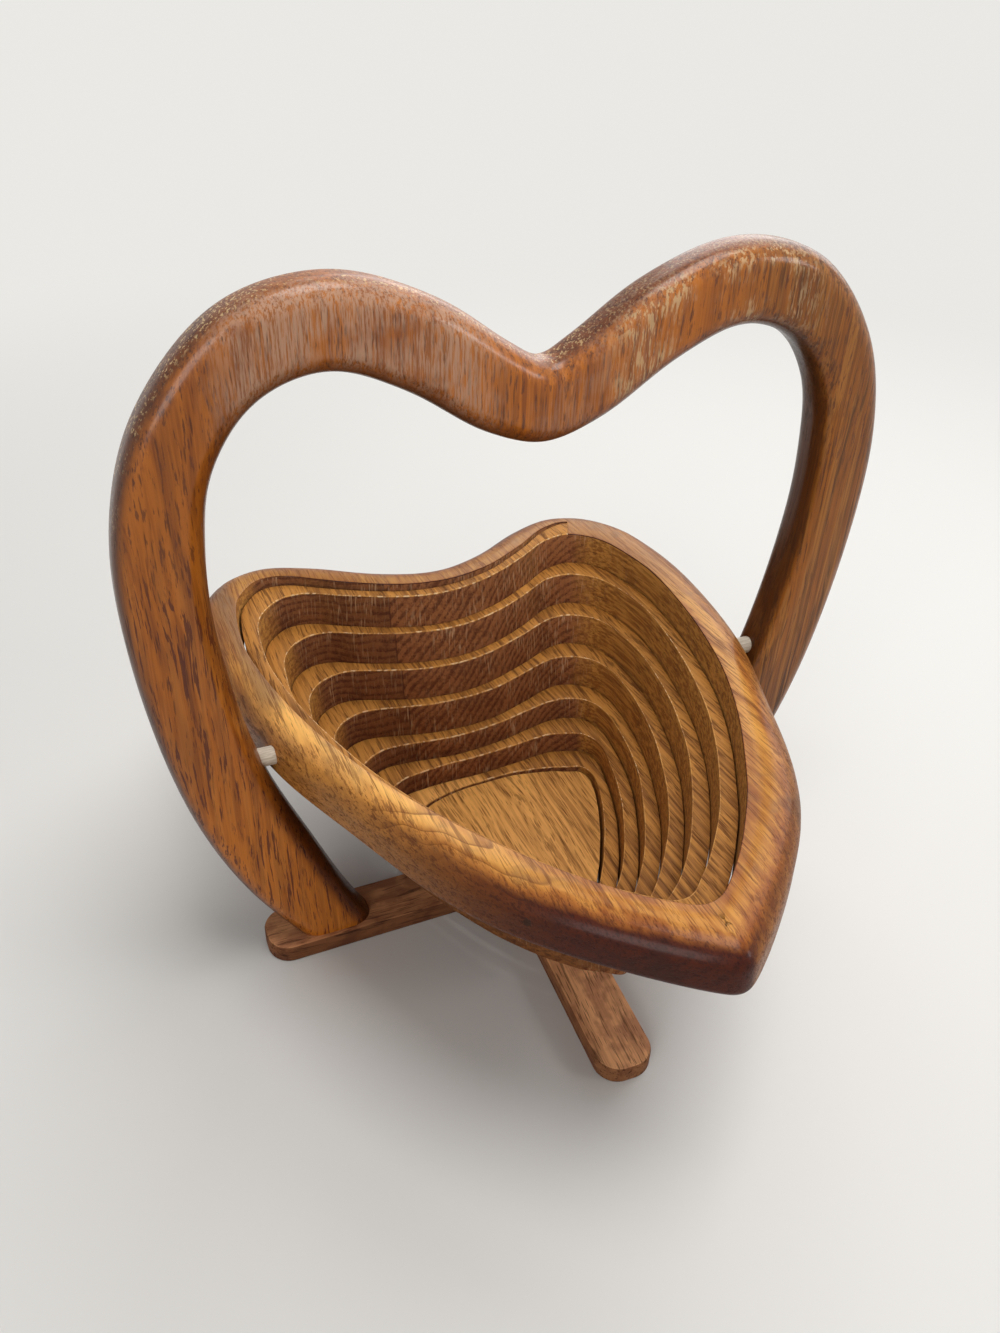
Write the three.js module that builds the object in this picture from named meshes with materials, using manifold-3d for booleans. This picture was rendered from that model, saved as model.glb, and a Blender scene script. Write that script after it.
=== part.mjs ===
// Collapsible heart basket, sawn from one oak board, in millimetres.
// X runs along the handle's plane, Y away from the front, Z up.
// The origin is on the floor, straight below the middle of the pivot pins.
import * as THREE from 'three';
import { mergeVertices } from 'three/addons/utils/BufferGeometryUtils.js';
import Module from 'manifold-3d';

const wasm = await Module();
wasm.setup();

// Driving dimensions
const width = 290;
const boardThickness = 19;
const pinHeight = 103;
const edgeRadius = 7;
const handleGap = 4;

// The saw cut that frees the spiral leans, so that each turn drops and then wedges in the one outside it
const kerf = 1.5;
const wedgedGap = 0.3;
const turnDrop = 15.2;
const turns = 7;
const kerfSlope = (kerf - wedgedGap) / turnDrop;
const basketTilt = THREE.MathUtils.degToRad(-4);

// The cross stand under the handle's arms
const slatWidth = 23;
const slatThickness = 8.5;
const slatLength = 226;
const slatCornerRadius = 9.5;
const lapGap = 0.3;
const crossTurn = THREE.MathUtils.degToRad(-2.5);
const crossShift = 4.5;

const pinRadius = 3.6;
const pinDepthInRim = 13;
const pinRecess = 1.5;
const boreClearance = 0.05;
const endGap = 0.4;
const restGap = 0.3;

// How finely curves are stepped
const stepsPerKnot = 3;
const cornerSteps = 4;
const pinSides = 24;
const slatCornerSteps = 6;

// Half outlines from the cleft round one lobe to the tip, as shares of half the width, about the pin axis.
// Each list has a knot for the same place on the heart, so that the curves can be blended.
const handleShares = [
  [0, 0.963], [0.076, 1], [0.248, 1.114], [0.483, 1.19], [0.71, 1.141], [0.897, 0.945], [0.983, 0.71],
  [1, 0.428], [0.941, -0.055], [0.828, -0.4], [0.676, -0.669], [0.517, -0.897], [0.1, -1.28], [0, -1.31],
];
const rimShares = [
  [0, 0.74], [0.162, 0.789], [0.348, 0.908], [0.509, 0.968], [0.645, 0.924], [0.739, 0.794], [0.77, 0.634],
  [0.773, 0.417], [0.705, 0], [0.593, -0.31], [0.472, -0.6], [0.345, -0.793], [0.062, -1.059], [0, -1.09],
];
const firstKerfShares = [
  [0, 0.611], [0.153, 0.644], [0.326, 0.741], [0.468, 0.84], [0.55, 0.847], [0.629, 0.76], [0.661, 0.632],
  [0.675, 0.416], [0.602, -0.012], [0.49, -0.336], [0.356, -0.586], [0.231, -0.767], [0.089, -0.921], [0, -0.976],
];
const lastKerfShares = [
  [0, 0.272], [0.081, 0.269], [0.156, 0.256], [0.219, 0.233], [0.256, 0.21], [0.294, 0.189], [0.307, 0.145],
  [0.285, 0.076], [0.25, -0.005], [0.199, -0.102], [0.14, -0.205], [0.072, -0.29], [0.026, -0.327], [0, -0.337],
];

// Knots that places on the heart are named by
const lobeKnot = 4;
const shoulderKnot = 5;
const pivotKnot = 8;
const armEndKnot = 10;

// Places along the saw cut, in turns from its first pass of the cleft, anticlockwise seen from above
const knotsPerTurn = 2 * (rimShares.length - 1);
const stepsPerTurn = knotsPerTurn * stepsPerKnot;
const cutStart = -lobeKnot / knotsPerTurn;
const cutEnd = turns + shoulderKnot / knotsPerTurn;
const steadyTurns = 4;
const linksPerTurn = 2;
const linkCount = linksPerTurn * (turns - 1);

const halfBoard = boardThickness / 2;

// Closed heart curve through a half outline and its mirror image
function heart(shares) {
  const scale = width / 2;
  const left = shares.map(([x, y]) => new THREE.Vector3(-x * scale, y * scale, 0));
  const right = shares.slice(1, -1).reverse().map(([x, y]) => new THREE.Vector3(x * scale, y * scale, 0));
  return new THREE.CatmullRomCurve3([...left, ...right], true, 'centripetal');
}

const handleCurve = heart(handleShares);
const rimCurve = heart(rimShares);
const firstKerfCurve = heart(firstKerfShares);
const lastKerfCurve = heart(lastKerfShares);

const wrap = (t) => t - Math.floor(t);
const sideways = (tangent) => new THREE.Vector3(tangent.y, -tangent.x, 0).normalize();

// Point on a heart curve, moved outward by an offset and up to a height
function onCurve(curve, t, offset, height) {
  const outward = sideways(curve.getTangent(wrap(t)));
  return curve.getPoint(wrap(t)).addScaledVector(outward, offset).setZ(height);
}

// Middle of the saw cut after a number of turns, halfway through the board
function cutPoint(turn) {
  const outer = firstKerfCurve.getPoint(wrap(turn));
  return outer.lerp(lastKerfCurve.getPoint(wrap(turn)), turn / turns);
}

// Point on a wall of the saw cut: side is 1 on its outer wall and -1 on its inner wall
function cutWall(turn, side, height) {
  const stride = 1 / stepsPerTurn;
  const tangent = cutPoint(turn + stride).sub(cutPoint(turn - stride));
  const offset = side * kerf / 2 + height * kerfSlope;
  return cutPoint(turn).addScaledVector(sideways(tangent), offset).setZ(height);
}

// Drop that sets the rear of the strip's last turn on the stand
function deepestDrop() {
  const rearEdge = cutWall(turns - 1, -1, 0).y;
  const axisHeight = pinHeight + rearEdge * Math.sin(basketTilt);
  return (axisHeight - slatThickness - restGap) / Math.cos(basketTilt) - halfBoard;
}

const fullDrop = deepestDrop();
const steadyDrop = turnDrop * (steadyTurns - cutStart);

// How far the strip hangs below the rim
function drop(turn) {
  if (turn <= steadyTurns) return turnDrop * (turn - cutStart);
  const share = Math.min((turn - steadyTurns) / (turns - 1 - steadyTurns), 1);
  return steadyDrop + (fullDrop - steadyDrop) * share;
}

// Solid through a row of sections with the same number of points each
function sweep(sections, closed) {
  const count = sections[0].length;
  const faces = [];
  const rows = closed ? sections.length : sections.length - 1;
  for (let row = 0; row < rows; row += 1) {
    const next = (row + 1) % sections.length;
    for (let k = 0; k < count; k += 1) {
      const l = (k + 1) % count;
      const [a, b, c, d] = [row * count + k, row * count + l, next * count + l, next * count + k];
      faces.push(a, b, c, a, c, d);
    }
  }
  if (!closed) {
    const last = (sections.length - 1) * count;
    for (let k = 1; k < count - 1; k += 1) {
      faces.push(0, k + 1, k);
      faces.push(last, last + k, last + k + 1);
    }
  }
  return solid(sections.flat(), faces);
}

// Solid between two outlines with the same number of points
function slab(lower, upper) {
  const plan = lower.map((point) => new THREE.Vector2(point.x, point.y));
  const count = plan.length;
  const faces = [];
  for (const [a, b, c] of THREE.ShapeUtils.triangulateShape(plan, [])) {
    faces.push(a, c, b, count + a, count + b, count + c);
  }
  for (let k = 0; k < count; k += 1) {
    const l = (k + 1) % count;
    faces.push(k, l, count + l, k, count + l, count + k);
  }
  return solid([...lower, ...upper], faces);
}

// Geometry of a closed body, turned so that its faces point outward
function solid(points, faces) {
  let volume = 0;
  for (let k = 0; k < faces.length; k += 3) {
    const [a, b, c] = [points[faces[k]], points[faces[k + 1]], points[faces[k + 2]]];
    volume += a.dot(new THREE.Vector3().crossVectors(b, c));
  }
  if (volume < 0) faces.reverse();
  const geometry = new THREE.BufferGeometry().setFromPoints(points);
  geometry.setIndex(faces);
  return geometry;
}

function toManifold(geometry) {
  const bare = geometry.clone();
  bare.deleteAttribute('normal');
  bare.deleteAttribute('uv');
  const merged = mergeVertices(bare);
  return new wasm.Manifold(new wasm.Mesh({
    numProp: 3,
    vertProperties: new Float32Array(merged.attributes.position.array),
    triVerts: new Uint32Array(merged.index.array),
  }));
}

function cut(geometry, tools) {
  let body = toManifold(geometry);
  for (const tool of tools) body = body.subtract(toManifold(tool));
  const mesh = body.getMesh();
  const result = new THREE.BufferGeometry();
  result.setAttribute('position', new THREE.BufferAttribute(new Float32Array(mesh.vertProperties), 3));
  result.setIndex(new THREE.BufferAttribute(new Uint32Array(mesh.triVerts), 1));
  return result;
}

// Box given by its low and high corners
function block(low, high) {
  const size = new THREE.Vector3().subVectors(high, low);
  const middle = new THREE.Vector3().addVectors(low, high).divideScalar(2);
  return new THREE.BoxGeometry(size.x, size.y, size.z).translate(middle.x, middle.y, middle.z);
}

// Round rod along X between two places
function rod(radius, from, to) {
  return new THREE.CylinderGeometry(radius, radius, Math.abs(to - from), pinSides)
    .rotateZ(Math.PI / 2)
    .translate((from + to) / 2, 0, 0);
}

// Round edge of the board, from the top face to the bottom face, on the curve's outer (1) or inner (-1) side
function roundEdge(curve, t, side, offset) {
  const points = [];
  for (const half of [1, -1]) {
    for (let k = 0; k <= cornerSteps; k += 1) {
      const share = half > 0 ? 1 - k / cornerSteps : k / cornerSteps;
      const angle = Math.PI / 2 * share;
      const height = half * (halfBoard - edgeRadius + edgeRadius * Math.sin(angle));
      const across = offset + side * edgeRadius * (Math.cos(angle) - 1);
      points.push(onCurve(curve, t, across, height));
    }
  }
  return points;
}

// The handle is swept past its arms' ends, and cut level there
function handleGeometry() {
  const reach = (armEndKnot + 1) * stepsPerKnot;
  const sections = [];
  for (let step = -reach; step <= reach; step += 1) {
    const t = step / stepsPerTurn;
    const outer = roundEdge(handleCurve, t, 1, 0);
    const inner = roundEdge(rimCurve, t, -1, handleGap);
    sections.push([...outer, ...inner.reverse()]);
  }
  const floor = slatThickness - pinHeight;
  const below = block(
    new THREE.Vector3(-width, -width, -boardThickness),
    new THREE.Vector3(width, floor, boardThickness),
  );
  const bore = rod(pinRadius + boreClearance, -width, width);
  return cut(sweep(sections, false), [below, bore]).rotateX(Math.PI / 2);
}

const rimReach = rimShares[pivotKnot][0] * width / 2;
const handleReach = handleShares[pivotKnot][0] * width / 2;

function pinGeometry(side) {
  return rod(pinRadius, side * (rimReach - pinDepthInRim), side * (handleReach - pinRecess));
}

// The rim grows wider as the saw cut winds inward, and steps back where the cut began
function rimGeometry() {
  const sections = [];
  for (let step = 0; step < stepsPerTurn; step += 1) {
    const turn = cutStart + step / stepsPerTurn;
    const outer = roundEdge(rimCurve, turn, 1, 0);
    sections.push([cutWall(turn, 1, halfBoard), ...outer, cutWall(turn, 1, -halfBoard)]);
  }
  const bores = [1, -1].map((side) => {
    const blindEnd = side * (rimReach - pinDepthInRim - endGap);
    return rod(pinRadius + boreClearance, blindEnd, side * width);
  });
  return cut(sweep(sections, true), bores);
}

// Section of the strip, hanging at its own depth
function stripSection(turn) {
  const corners = [
    cutWall(turn, -1, halfBoard), cutWall(turn, -1, -halfBoard),
    cutWall(turn + 1, 1, -halfBoard), cutWall(turn + 1, 1, halfBoard),
  ];
  return corners.map((corner) => corner.setZ(corner.z - drop(turn)));
}

// Turns between two places on the strip, stepped at the same places on every turn, with a small gap at each end
function stripTurns(from, to, startGap) {
  const first = Math.round(from * stepsPerTurn);
  const last = Math.round(to * stepsPerTurn);
  const places = [from + startGap / lengthPerTurn(from)];
  for (let step = first + 1; step < last; step += 1) places.push(step / stepsPerTurn);
  places.push(to - endGap / 2 / lengthPerTurn(to));
  return places;
}

function lengthPerTurn(turn) {
  const stride = 1 / stepsPerTurn;
  return cutPoint(turn + stride).distanceTo(cutPoint(turn)) / stride;
}

const linkStart = (index) => (index === 0 ? cutStart : index / linksPerTurn);

function linkGeometry(index) {
  const startGap = index === 0 ? kerf : endGap / 2;
  const places = stripTurns(linkStart(index), linkStart(index + 1), startGap);
  return sweep(places.map(stripSection), false);
}

// The base and the last stretch of strip, which runs into it
function baseGeometry() {
  const outline = (height) => {
    const tailStart = turns - 1 + endGap / 2 / lengthPerTurn(turns - 1);
    const outerWall = [cutWall(tailStart, -1, height)];
    const firstStep = Math.round((turns - 1) * stepsPerTurn) + 1;
    const lastStep = Math.round(cutEnd * stepsPerTurn);
    for (let step = firstStep; step <= lastStep; step += 1) {
      outerWall.push(cutWall(step / stepsPerTurn, -1, height));
    }
    const innerWall = [];
    for (let step = lastStep; step > firstStep + stepsPerTurn - 1; step -= 1) {
      innerWall.push(cutWall(step / stepsPerTurn, 1, height));
    }
    innerWall.push(cutWall(tailStart + 1, 1, height));
    return [...outerWall, ...innerWall];
  };
  const sink = (point) => point.setZ(point.z - fullDrop);
  return slab(outline(-halfBoard).map(sink), outline(halfBoard).map(sink));
}

// Slat along X with rounded corners
function slatGeometry() {
  const [x, y, r] = [slatLength / 2, slatWidth / 2, slatCornerRadius];
  const shape = new THREE.Shape();
  shape.moveTo(-x + r, -y);
  shape.lineTo(x - r, -y);
  shape.absarc(x - r, -y + r, r, -Math.PI / 2, 0);
  shape.absarc(x - r, y - r, r, 0, Math.PI / 2);
  shape.absarc(-x + r, y - r, r, Math.PI / 2, Math.PI);
  shape.absarc(-x + r, -y + r, r, Math.PI, 3 * Math.PI / 2);
  return new THREE.ExtrudeGeometry(shape, {
    depth: slatThickness, bevelEnabled: false, curveSegments: slatCornerSteps,
  });
}

// The slats cross in a half lap, a little off square: each is notched to half its thickness
const lapReach = slatWidth / 2 + lapGap;
const toCrossSlat = (geometry) => geometry.rotateZ(crossTurn).translate(crossShift, 0, 0);

function longSlatGeometry() {
  const notchFloor = (slatThickness - lapGap) / 2;
  const notch = block(
    new THREE.Vector3(-lapReach, -slatWidth, notchFloor),
    new THREE.Vector3(lapReach, slatWidth, 2 * slatThickness),
  );
  return cut(slatGeometry(), [toCrossSlat(notch)]);
}

function crossSlatGeometry() {
  const notchRoof = (slatThickness + lapGap) / 2;
  const notch = block(
    new THREE.Vector3(-slatLength, -lapReach, -slatThickness),
    new THREE.Vector3(slatLength, lapReach, notchRoof),
  );
  return cut(toCrossSlat(slatGeometry().rotateZ(Math.PI / 2)), [notch]);
}

const wood = (color, roughness) => new THREE.MeshStandardMaterial({ color, roughness, metalness: 0 });
const handleOak = wood(0x9a5428, 0.4);
const basketOak = wood(0xc07c3c, 0.45);
const slatOak = wood(0xa27052, 0.7);
const pinBirch = wood(0xe6dac4, 0.7);

function mesh(name, geometry, material) {
  const piece = new THREE.Mesh(geometry, material);
  piece.name = name;
  return piece;
}

const stand = new THREE.Group();
stand.add(mesh('long_slat', longSlatGeometry(), slatOak));
stand.add(mesh('cross_slat', crossSlatGeometry(), slatOak));

const frame = new THREE.Group();
frame.position.z = pinHeight;
frame.add(mesh('handle', handleGeometry(), handleOak));
frame.add(mesh('pin_left', pinGeometry(-1), pinBirch));
frame.add(mesh('pin_right', pinGeometry(1), pinBirch));

const basket = new THREE.Group();
basket.position.z = pinHeight;
basket.rotation.x = basketTilt;
basket.add(mesh('rim', rimGeometry(), basketOak));
for (let index = 0; index < linkCount; index += 1) {
  const name = `spiral_${String(index + 1).padStart(2, '0')}`;
  basket.add(mesh(name, linkGeometry(index), basketOak));
}
basket.add(mesh('base', baseGeometry(), basketOak));

const heartBasket = new THREE.Group();
heartBasket.add(stand, frame, basket);

export default heartBasket;
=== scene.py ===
"""Looks of the collapsible heart basket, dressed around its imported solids.

Lengths are in millimetres until a mesh is made. The studio at the end is in metres.
"""

import math

import bmesh
import bpy
import numpy as np
from mathutils import Matrix, Vector


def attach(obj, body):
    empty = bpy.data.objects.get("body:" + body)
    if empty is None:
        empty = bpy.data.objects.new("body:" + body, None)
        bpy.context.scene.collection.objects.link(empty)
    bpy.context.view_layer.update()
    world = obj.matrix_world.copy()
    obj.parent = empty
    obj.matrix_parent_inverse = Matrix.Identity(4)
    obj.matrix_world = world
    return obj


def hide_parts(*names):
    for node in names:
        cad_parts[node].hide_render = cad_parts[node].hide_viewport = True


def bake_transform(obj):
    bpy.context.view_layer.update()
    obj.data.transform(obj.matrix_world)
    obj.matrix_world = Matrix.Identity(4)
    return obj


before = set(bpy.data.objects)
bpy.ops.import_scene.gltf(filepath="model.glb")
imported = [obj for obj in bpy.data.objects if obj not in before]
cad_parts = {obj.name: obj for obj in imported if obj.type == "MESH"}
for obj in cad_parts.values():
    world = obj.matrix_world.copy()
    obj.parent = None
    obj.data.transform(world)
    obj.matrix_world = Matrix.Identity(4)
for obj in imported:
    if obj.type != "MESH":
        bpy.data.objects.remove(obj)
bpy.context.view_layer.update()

MM = 0.001

# Main sizes of the solids
WIDTH = 290.0
HALF_BOARD = 19.0 / 2
HANDLE_GAP = 4.0
TILT = math.radians(-4)

# The leaning saw cut, which lets each turn of the strip drop and then wedge
KERF = 1.5
WEDGED_GAP = 0.3
TURN_DROP = 15.2
TURNS = 7
STEADY_TURNS = 4
KERF_SLOPE = (KERF - WEDGED_GAP) / TURN_DROP
REST_GAP = 0.3
LINKS = 12

PIN_HEIGHT, PIN_RADIUS, PIN_DEPTH, PIN_RECESS, PIN_BEVEL = 103.0, 3.6, 13.0, 1.5, 0.5
BORE_GAP, BORE_END_GAP = 0.1, 0.4
SLAT_WIDTH, SLAT_THICKNESS, SLAT_LENGTH, SLAT_CORNER = 23.0, 8.5, 226.0, 9.5
LAP_GAP = 0.3
CROSS_TURN, CROSS_SHIFT = math.radians(-2.5), 4.5

# Edges: radius across and down of the shaped ones, and how far the others are eased
HANDLE_EDGE = (8.0, 7.5)
RIM_TOP_EDGE = (11.5, 8.5)
RIM_FOOT_EDGE = (3.5, 3.5)
SAWN_EASE = 0.5
SLAT_EASE = 1.0

# Line that the board is glued up along, and the heart of the tree that each half grew round
GLUE_LINE = -27.0
LEFT_PITH, RIGHT_PITH = (-50, -150), (155, -130)

# Half outlines from the cleft round one lobe to the tip, as shares of half the width
HANDLE = [
    (0, 0.963), (0.076, 1), (0.248, 1.114), (0.483, 1.19), (0.71, 1.141), (0.897, 0.945), (0.983, 0.71),
    (1, 0.428), (0.941, -0.055), (0.828, -0.4), (0.676, -0.669), (0.517, -0.897), (0.1, -1.28), (0, -1.31),
]
RIM = [
    (0, 0.74), (0.162, 0.789), (0.348, 0.908), (0.509, 0.968), (0.645, 0.924), (0.739, 0.794), (0.77, 0.634),
    (0.773, 0.417), (0.705, 0), (0.593, -0.31), (0.472, -0.6), (0.345, -0.793), (0.062, -1.059), (0, -1.09),
]
FIRST_KERF = [
    (0, 0.611), (0.153, 0.644), (0.326, 0.741), (0.468, 0.84), (0.55, 0.847), (0.629, 0.76), (0.661, 0.632),
    (0.675, 0.416), (0.602, -0.012), (0.49, -0.336), (0.356, -0.586), (0.231, -0.767), (0.089, -0.921),
    (0, -0.976),
]
LAST_KERF = [
    (0, 0.272), (0.081, 0.269), (0.156, 0.256), (0.219, 0.233), (0.256, 0.21), (0.294, 0.189), (0.307, 0.145),
    (0.285, 0.076), (0.25, -0.005), (0.199, -0.102), (0.14, -0.205), (0.072, -0.29), (0.026, -0.327),
    (0, -0.337),
]

# Knots that places on the outlines are named by. The arms' end is below the slats' top, where they are cut.
LOBE_KNOT, SHOULDER_KNOT, PIVOT_KNOT, ARM_END_KNOT = 4, 5, 8, 11
KNOTS = 2 * (len(RIM) - 1)
STEPS_PER_KNOT = 16
STEPS = STEPS_PER_KNOT * KNOTS
CUT_START = -LOBE_KNOT * STEPS_PER_KNOT
CUT_END = TURNS * STEPS + SHOULDER_KNOT * STEPS_PER_KNOT

RIM_REACH = RIM[PIVOT_KNOT][0] * WIDTH / 2
HANDLE_REACH = HANDLE[PIVOT_KNOT][0] * WIDTH / 2

# How finely round forms are stepped, and steps that are spare at each end of a curve
CORNER_STEPS = 8
ROD_SIDES = 64
SLAT_CORNER_STEPS = 12
SPARE = 24
SOFTEN_SIGMA = 2.0

SHARP_ANGLE = math.radians(38)


# ---------------------------------------------------------------- curves


def heart(shares):
    """Closed outline through a half outline and its mirror image."""
    left = [(-x, y) for x, y in shares]
    right = list(reversed(shares[1:-1]))
    return np.array(left + right, float) * WIDTH / 2


def on_heart(points, turn):
    """Centripetal curve through the outline's points, at places given in turns."""
    count = len(points)
    place = np.asarray(turn, float) * count
    first = np.floor(place).astype(int)
    w = (place - first)[:, None]
    p0, p1, p2, p3 = (points[(first + k) % count] for k in (-1, 0, 1, 2))
    d0, d1, d2 = (
        np.sqrt(np.linalg.norm(b - a, axis=1))[:, None] for a, b in ((p0, p1), (p1, p2), (p2, p3))
    )
    t1 = ((p1 - p0) / d0 - (p2 - p0) / (d0 + d1) + (p2 - p1) / d1) * d1
    t2 = ((p2 - p1) / d1 - (p3 - p1) / (d1 + d2) + (p3 - p2) / d2) * d1
    return p1 + t1 * w + (-3 * p1 + 3 * p2 - 2 * t1 - t2) * w**2 + (2 * p1 - 2 * p2 + t1 + t2) * w**3


def soften(points):
    """Evens out the curvature along a row of points whose ends are spare."""
    reach = int(SOFTEN_SIGMA * 3)
    weights = np.exp(-0.5 * (np.arange(-reach, reach + 1) / SOFTEN_SIGMA) ** 2)
    weights /= weights.sum()
    padded = np.concatenate([points[:1].repeat(reach, 0), points, points[-1:].repeat(reach, 0)])
    return np.stack([np.convolve(padded[:, k], weights, "valid") for k in (0, 1)], 1)


def outward(points):
    """Directions square to a curve that runs anticlockwise, away from what it encloses."""
    along = np.gradient(points, axis=0)
    side = np.stack([along[:, 1], -along[:, 0]], 1)
    return side / np.linalg.norm(side, axis=1)[:, None]


def cut_centre(turn):
    """Middle of the saw cut, halfway up the board."""
    share = (turn / TURNS)[:, None]
    return on_heart(heart(FIRST_KERF), turn) * (1 - share) + on_heart(heart(LAST_KERF), turn) * share


# Size, rate and phase of each wave by which the hand-led saw strays
WANDER = ((0.14, 47, 1), (0.1, 83, 2.2), (0.05, 171, 0))

FIRST = CUT_START - SPARE
turn_of = np.arange(FIRST, CUT_END + SPARE + 1) / STEPS
cut_line = soften(cut_centre(turn_of))
wander = sum(size * np.sin(turn_of * rate + phase) for size, rate, phase in WANDER)
cut_line = cut_line + outward(cut_line) * wander[:, None]
cut_side = outward(cut_line)


def cut_wall(index, side, height):
    """Points on a wall of the saw cut: side is 1 on its outer wall and -1 on its inner wall."""
    k = np.asarray(index) - FIRST
    offset = side * KERF / 2 + height * KERF_SLOPE
    return cut_line[k] + cut_side[k] * offset


def ring_outline(shares):
    """One closed outline at the saw cut's steps, with its outward directions."""
    spare = np.arange(-SPARE, STEPS + SPARE)
    points = soften(on_heart(heart(shares), spare / STEPS))
    sides = outward(points)
    return points[SPARE:-SPARE], sides[SPARE:-SPARE]


handle_line, handle_side = ring_outline(HANDLE)
rim_line, rim_side = ring_outline(RIM)


def full_drop():
    """How far the base hangs below the rim, so that its rear edge is just clear of the slats."""
    rear_edge = cut_centre(np.array([TURNS - 1.0]))[0, 1] - KERF / 2
    axis_height = PIN_HEIGHT + rear_edge * math.sin(TILT)
    return (axis_height - SLAT_THICKNESS - REST_GAP) / math.cos(TILT) - HALF_BOARD


FULL_DROP = full_drop()
STEADY_DROP = TURN_DROP * (STEADY_TURNS - CUT_START / STEPS)


def drop(index):
    """How far the strip hangs below the rim."""
    turn = np.asarray(index) / STEPS
    steady = TURN_DROP * (turn - CUT_START / STEPS)
    share = np.clip((turn - STEADY_TURNS) / (TURNS - 1 - STEADY_TURNS), 0, 1)
    later = STEADY_DROP + (FULL_DROP - STEADY_DROP) * share
    return np.where(turn <= STEADY_TURNS, steady, later)


# ---------------------------------------------------------------- meshes


def tilt(points):
    """Basket board's coordinates to the frame that the solids are in."""
    u, v, w = points[:, 0], points[:, 1], points[:, 2]
    c, s = math.cos(TILT), math.sin(TILT)
    return np.stack([u, v * c - w * s, v * s + w * c + PIN_HEIGHT], 1)


def untilt(points):
    """The reverse of tilt."""
    x, y, z = points[:, 0], points[:, 1], points[:, 2] - PIN_HEIGHT
    c, s = math.cos(TILT), math.sin(TILT)
    return np.stack([x, y * c + z * s, -y * s + z * c], 1)


def stand_up(points):
    """Handle board's coordinates to the frame that the solids are in."""
    return np.stack([points[:, 0], -points[:, 2], points[:, 1] + PIN_HEIGHT], 1)


def unstand(points):
    """The reverse of stand_up."""
    return np.stack([points[:, 0], points[:, 2] - PIN_HEIGHT, -points[:, 1]], 1)


def make_object(name, points, faces, slots=None):
    """Object in metres from points in millimetres. slots gives each face's material."""
    mesh = bpy.data.meshes.new(name)
    mesh.from_pydata((np.asarray(points) * MM).tolist(), [], faces)
    obj = bpy.data.objects.new(name, mesh)
    bpy.context.scene.collection.objects.link(obj)
    if slots is not None:
        mesh.polygons.foreach_set("material_index", slots)
    return obj


def loft(sections):
    """Quads between rows of points, with a cap at each end. sections is rows x points x 3."""
    rows, count, _ = sections.shape
    faces = []
    for a in range(0, (rows - 1) * count, count):
        b = a + count
        faces += [(a + k, a + (k + 1) % count, b + (k + 1) % count, b + k) for k in range(count)]
    faces.append(tuple(range(count - 1, -1, -1)))
    faces.append(tuple(range((rows - 1) * count, rows * count)))
    return sections.reshape(-1, 3), faces


def face_out(obj):
    """Turns every face to the outside."""
    bm = bmesh.new()
    bm.from_mesh(obj.data)
    bmesh.ops.recalc_face_normals(bm, faces=bm.faces)
    bm.to_mesh(obj.data)
    bm.free()


def add_materials(obj, *woods):
    for wood in woods:
        obj.data.materials.append(wood)


def finish_mesh(obj, board):
    """Smooths the shading and stores each point's place in its board, which the grain follows.

    board is the places themselves, or a function that finds them from the points.
    """
    face_out(obj)
    mesh = obj.data
    mesh.polygons.foreach_set("use_smooth", np.ones(len(mesh.polygons), bool))
    mesh.set_sharp_from_angle(angle=SHARP_ANGLE)
    if callable(board):
        co = np.zeros(len(mesh.vertices) * 3)
        mesh.vertices.foreach_get("co", co)
        board = board(co.reshape(-1, 3) / MM)
    attribute = mesh.attributes.new("board", "FLOAT_VECTOR", "POINT")
    attribute.data.foreach_set("vector", (np.asarray(board) * MM).astype(np.float32).ravel())


def cut_away(obj, tool):
    """Takes one closed object out of another, and removes it."""
    modifier = obj.modifiers.new("cut", "BOOLEAN")
    modifier.operation = "DIFFERENCE"
    modifier.solver = "EXACT"
    modifier.object = tool
    graph = bpy.context.evaluated_depsgraph_get()
    mesh = bpy.data.meshes.new_from_object(obj.evaluated_get(graph))
    obj.modifiers.clear()
    obj.data = mesh
    bpy.data.objects.remove(tool)


def rod_object(name, radius, start, end, bevel=0.0):
    """Round rod along X at the pins' height."""
    lo, hi = min(start, end), max(start, end)
    stations = [(lo, radius), (hi, radius)]
    if bevel:
        stations = [(lo, radius - bevel), (lo + bevel, radius), (hi - bevel, radius), (hi, radius - bevel)]
    angles = np.arange(ROD_SIDES) / ROD_SIDES * 2 * math.pi
    rows = [
        np.stack([np.full(ROD_SIDES, x), r * np.cos(angles), r * np.sin(angles) + PIN_HEIGHT], 1)
        for x, r in stations
    ]
    obj = make_object(name, *loft(np.array(rows)))
    face_out(obj)
    return obj


def bore(start, end):
    """Tool that cuts the hole for a pin."""
    return rod_object("bore", PIN_RADIUS + BORE_GAP, start, end)


# ---------------------------------------------------------------- materials

# A Mix node's sockets for colours
MIX_FACTOR, MIX_A, MIX_B, MIX_RESULT = 0, 6, 7, 2

# Relief of the surfaces in metres, and how strongly it shows
BUMP_STRENGTH, OAK_RELIEF, BIRCH_RELIEF = 0.5, 0.0002, 0.0004

# How the oak's grain drifts: the size of a swerve, and its reach
DRIFT_SIZE, DRIFT_REACH = (38, 150, 38), (16, 0, 16)

# Size of the cells that hold one pore each
PORE_CELL = (0.9, 13, 0.9)

# Bare wood: rubbed by hands on the handle's left and right, in its end grain, and on the strip's edge and wall
GREYISH_PINK, GOLDEN, SPECKS = (0.59, 0.36, 0.24), (0.74, 0.5, 0.26), (0.75, 0.52, 0.25)
FRAYED, SCUFFED = (0.8, 0.58, 0.32), (0.56, 0.35, 0.19)


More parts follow.
